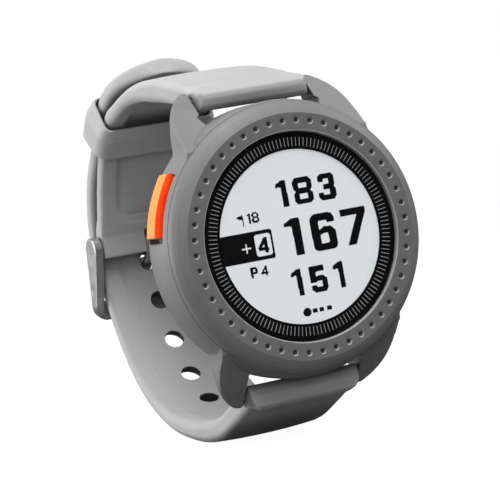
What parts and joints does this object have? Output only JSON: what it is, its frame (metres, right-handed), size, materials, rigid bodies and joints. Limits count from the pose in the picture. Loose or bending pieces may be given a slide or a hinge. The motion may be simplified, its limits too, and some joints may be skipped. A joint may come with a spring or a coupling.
{
  "type": "golf gps watch",
  "caption": "Round golf GPS wrist watch with a dimpled bezel around a touch display, an orange side button, and a perforated silicone strap closed by a tang buckle and a keeper loop.",
  "frame": {"origin": "centre of the case back's outer face, the face that lies on the wrist", "axes": "+Y out of the case back towards the wrist, +Z towards 12 o'clock (the watch stands upright), +X towards 3 o'clock"},
  "size_m": [0.05, 0.0809, 0.0736],
  "materials": {
    "case": "fine moulded grain, satin",
    "bezel": "fine moulded grain, satin",
    "lens_glass": "polished, clear",
    "dial_black": "printed black with light tick marks",
    "touch_film": "clear film",
    "seal": "matt black",
    "display": "pale reflective display",
    "light_guide": "clear to milky",
    "flex_film": "amber film with copper tracks",
    "inner_frame": "moulded black",
    "board": "green solder mask",
    "screw_steel": "bright, machined",
    "can_steel": "tinned sheet",
    "ceramic": "fired ceramic with a silvered top",
    "foam": "thin black adhesive foam",
    "battery_foil": "crimped foil pouch",
    "switch_body": "moulded black",
    "contact_gold": "gold plated",
    "cover": "moulded, satin",
    "button": "orange, satin",
    "bar_steel": "bright, turned",
    "strap": "light grey silicone, matt",
    "buckle": "bead blasted grey"
  },
  "bodies": {
    "case": {"case_body": "case", "bezel": "bezel", "lens": "lens_glass", "minute_ring": "dial_black", "touch_sensor": "touch_film", "lens_gasket": "seal", "display_panel": "display", "light_guide": "light_guide", "display_flex": "flex_film", "display_frame": "inner_frame", "main_board": "board", "board_screws": "screw_steel", "shield_can": "can_steel", "gnss_antenna": "ceramic", "battery_pad": "foam", "battery": "battery_foil", "button_switch": "switch_body", "contact_block": "inner_frame", "charge_contacts": "contact_gold", "case_back": "cover", "back_gasket": "seal", "back_screws": "screw_steel", "button_seal": "seal"},
    "button": {"power_button": "button", "button_clip": "screw_steel"},
    "band": {"upper_strap": "strap", "lower_strap": "strap", "upper_bar": "bar_steel", "lower_bar": "bar_steel", "buckle_pin": "buckle"},
    "upper_knob": {"upper_release": "bar_steel"},
    "lower_knob": {"lower_release": "bar_steel"},
    "keeper": {"strap_keeper": "strap"},
    "buckle": {"buckle_frame": "buckle"},
    "tang": {"buckle_tang": "buckle"}
  },
  "joints": [
    {"name": "button_press", "type": "slide", "parent": "case", "child": "button", "axis": [0.9239, 0, -0.3827], "range_m": [0, 0.0005], "stiffness_N_per_m": 1500, "springref_m": -0.0005},
    {"name": "band_hinge", "type": "hinge", "parent": "case", "child": "band", "pos_m": [0, -0.0003, 0.0266], "axis": [1, 0, 0], "range_deg": [0, 60]},
    {"name": "upper_release_slide", "type": "slide", "parent": "band", "child": "upper_knob", "axis": [-1, 0, 0], "range_m": [0, 0.0013], "stiffness_N_per_m": 500, "springref_m": -0.001},
    {"name": "lower_release_slide", "type": "slide", "parent": "band", "child": "lower_knob", "axis": [-1, 0, 0], "range_m": [0, 0.0013], "stiffness_N_per_m": 500, "springref_m": -0.001},
    {"name": "keeper_slide", "type": "hinge", "parent": "band", "child": "keeper", "pos_m": [0, 0.0272, 0.0025], "axis": [1, 0, 0], "range_deg": [-4.5, 3]},
    {"name": "buckle_swing", "type": "hinge", "parent": "band", "child": "buckle", "pos_m": [0, 0.0599, 0.0028], "axis": [1, 0, 0], "range_deg": [0, 6]},
    {"name": "tang_lift", "type": "hinge", "parent": "buckle", "child": "tang", "pos_m": [0, 0.0599, 0.0028], "axis": [1, 0, 0], "range_deg": [0, 5]}
  ]
}
